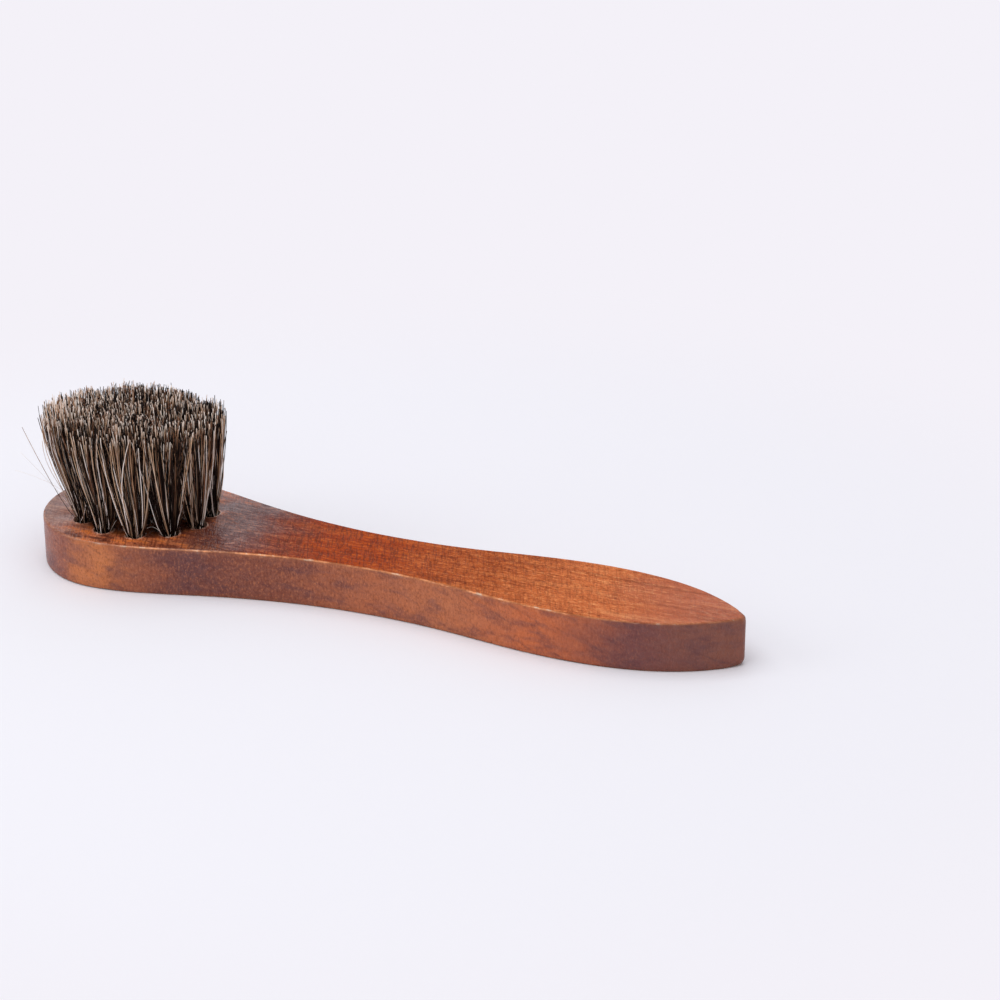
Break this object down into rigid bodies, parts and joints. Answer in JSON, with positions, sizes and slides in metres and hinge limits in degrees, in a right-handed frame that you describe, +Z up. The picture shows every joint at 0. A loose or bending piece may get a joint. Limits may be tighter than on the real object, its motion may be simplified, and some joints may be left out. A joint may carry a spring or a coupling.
{
  "type": "shoe polish applicator brush",
  "caption": "Small wooden brush that lies on its flat back: a round head set with tufts of trimmed horsehair, and a waisted handle that ends in a point, to dab on and spread shoe polish.",
  "frame": {"origin": "on the flat underside of the board, on its centre line, halfway between the head's end and the pointed tip", "axes": "+X from the head to the pointed tip along the board, +Z up through the bristles, +Y across the board"},
  "size_m": [0.1694, 0.0404, 0.0375],
  "materials": {
    "stained_wood": "stained orange brown and lacquered to a satin gloss, with worn pale arrises",
    "horsehair": "mixed dark brown, tan and grey natural hair, slightly shiny",
    "anchor_wire": "plain flat wire"
  },
  "bodies": {
    "root": {"wooden_handle": "stained_wood", "horsehair_tuft_01": "horsehair", "horsehair_tuft_02": "horsehair", "horsehair_tuft_03": "horsehair", "horsehair_tuft_04": "horsehair", "horsehair_tuft_05": "horsehair", "horsehair_tuft_06": "horsehair", "horsehair_tuft_07": "horsehair", "horsehair_tuft_08": "horsehair", "horsehair_tuft_09": "horsehair", "horsehair_tuft_10": "horsehair", "horsehair_tuft_11": "horsehair", "horsehair_tuft_12": "horsehair", "horsehair_tuft_13": "horsehair", "horsehair_tuft_14": "horsehair", "horsehair_tuft_15": "horsehair", "horsehair_tuft_16": "horsehair", "horsehair_tuft_17": "horsehair", "horsehair_tuft_18": "horsehair", "horsehair_tuft_19": "horsehair", "anchor_wire_01": "anchor_wire", "anchor_wire_02": "anchor_wire", "anchor_wire_03": "anchor_wire", "anchor_wire_04": "anchor_wire", "anchor_wire_05": "anchor_wire", "anchor_wire_06": "anchor_wire", "anchor_wire_07": "anchor_wire", "anchor_wire_08": "anchor_wire", "anchor_wire_09": "anchor_wire", "anchor_wire_10": "anchor_wire", "anchor_wire_11": "anchor_wire", "anchor_wire_12": "anchor_wire", "anchor_wire_13": "anchor_wire", "anchor_wire_14": "anchor_wire", "anchor_wire_15": "anchor_wire", "anchor_wire_16": "anchor_wire", "anchor_wire_17": "anchor_wire", "anchor_wire_18": "anchor_wire", "anchor_wire_19": "anchor_wire"}
  },
  "joints": []
}
